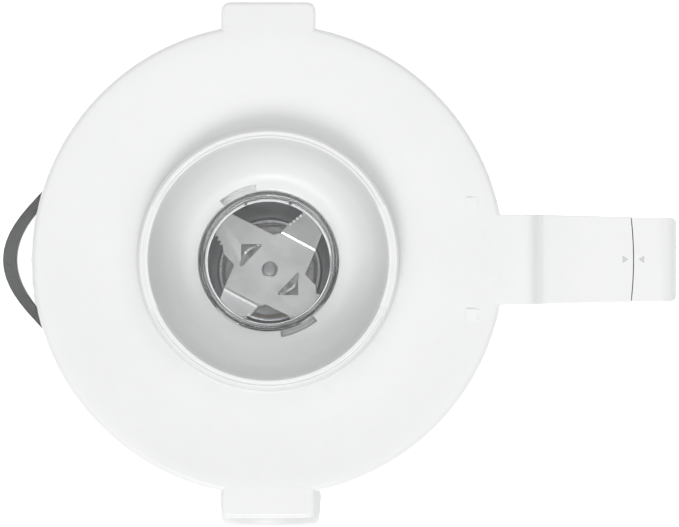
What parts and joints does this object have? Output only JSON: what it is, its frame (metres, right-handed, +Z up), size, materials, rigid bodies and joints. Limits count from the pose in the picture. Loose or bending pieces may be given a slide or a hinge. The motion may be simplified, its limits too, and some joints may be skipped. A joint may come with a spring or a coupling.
{
  "type": "countertop blender",
  "caption": "Countertop blender: motor base with speed knob, clear tapered jug with side handle and spout, bladed foot, locking lid with grip tabs and a clear measuring cup.",
  "frame": {"origin": "middle of the footprint of the whole blender (from spout to handle, and from knob to back tab) on the table", "axes": "+Z up, -Y towards the user and the knob, +X towards the jug's handle, -X towards the spout"},
  "size_m": [0.2072, 0.1674, 0.3864],
  "materials": {
    "white_plastic": "smooth moulded, semi-gloss",
    "grey_plastic": "fine texture",
    "carrier_plastic": "moulded, satin",
    "clear_plastic": "clear, polished",
    "dark_plastic": "moulded",
    "rubber": "matt",
    "silicone": "translucent grey",
    "steel": "turned",
    "blade_steel": "brushed, ground edges",
    "aluminium": "die cast",
    "motor_iron": "laminated, lacquered",
    "copper": "enamelled wire",
    "brass": "machined",
    "board": "solder mask"
  },
  "bodies": {
    "base": {"base_housing": "white_plastic", "bottom_cover": "grey_plastic", "foot_1": "rubber", "foot_2": "rubber", "foot_3": "rubber", "foot_4": "rubber", "bottom_screw_1": "steel", "bottom_screw_2": "steel", "bottom_screw_3": "steel", "bottom_screw_4": "steel", "cord_inlet": "rubber", "knob_bezel": "grey_plastic", "speed_switch": "dark_plastic", "control_board": "board", "motor_stator": "motor_iron", "field_coil_front": "copper", "field_coil_back": "copper", "upper_bracket": "aluminium", "lower_bracket": "aluminium", "upper_bearing": "steel", "lower_bearing": "steel", "brush_holder_right": "brass", "brush_holder_left": "brass", "motor_isolator_1": "rubber", "motor_isolator_2": "rubber", "motor_isolator_3": "rubber", "motor_isolator_4": "rubber", "deck_seal": "rubber", "reed_switch": "dark_plastic"},
    "rotor": {"motor_shaft": "steel", "armature_core": "motor_iron", "armature_winding_top": "copper", "armature_winding_bottom": "copper", "commutator": "copper", "cooling_fan": "dark_plastic", "drive_coupling": "dark_plastic"},
    "knob": {"speed_knob": "white_plastic", "knob_shaft": "steel"},
    "jug": {"jug": "clear_plastic", "jug_handle": "white_plastic", "handle_screw_upper": "steel", "handle_screw_lower": "steel", "blade_carrier": "carrier_plastic", "blade_seal": "silicone", "blade_bushing": "brass", "blade_seat": "steel", "jug_magnet": "motor_iron"},
    "blades": {"blade_shaft": "steel", "blade_washer": "steel", "blade": "blade_steel", "blade_spacer": "steel", "blade_nut": "steel", "driven_coupling": "dark_plastic"},
    "lid_ring": {"lid_seal": "silicone"},
    "lid": {"lid": "white_plastic"},
    "cup_ring": {"cup_seal": "silicone"},
    "cup": {"measuring_cup": "clear_plastic"}
  },
  "joints": [
    {"name": "motor_spin", "type": "hinge", "parent": "base", "child": "rotor", "pos_m": [-0.02175, 0.0046, 0.08], "axis": [0, 0, 1], "continuous": true},
    {"name": "blade_spin", "type": "hinge", "parent": "jug", "child": "blades", "pos_m": [-0.02175, 0.0046, 0.2], "axis": [0, 0, 1], "continuous": true},
    {"name": "knob_turn", "type": "hinge", "parent": "base", "child": "knob", "pos_m": [-0.02175, -0.07, 0.06], "axis": [0, 1, 0], "range_deg": [-45, 150]},
    {"name": "jug_lift", "type": "slide", "parent": "base", "child": "jug", "axis": [0, 0, 1], "range_m": [0, 0.06]},
    {"name": "lid_lift", "type": "slide", "parent": "jug", "child": "lid_ring", "axis": [0, 0, 1], "range_m": [0, 0.07]},
    {"name": "lid_turn", "type": "hinge", "parent": "lid_ring", "child": "lid", "pos_m": [-0.02175, 0.0046, 0.38], "axis": [0, 0, 1], "range_deg": [0, 25]},
    {"name": "cup_lift", "type": "slide", "parent": "lid", "child": "cup_ring", "axis": [0, 0, 1], "range_m": [0, 0.08]},
    {"name": "cup_turn", "type": "hinge", "parent": "cup_ring", "child": "cup", "pos_m": [-0.02175, 0.0046, 0.36], "axis": [0, 0, 1], "range_deg": [0, 20]}
  ],
  "couplings": [
    {"joint": "blade_spin", "follows": "motor_spin", "ratio": 1}
  ]
}
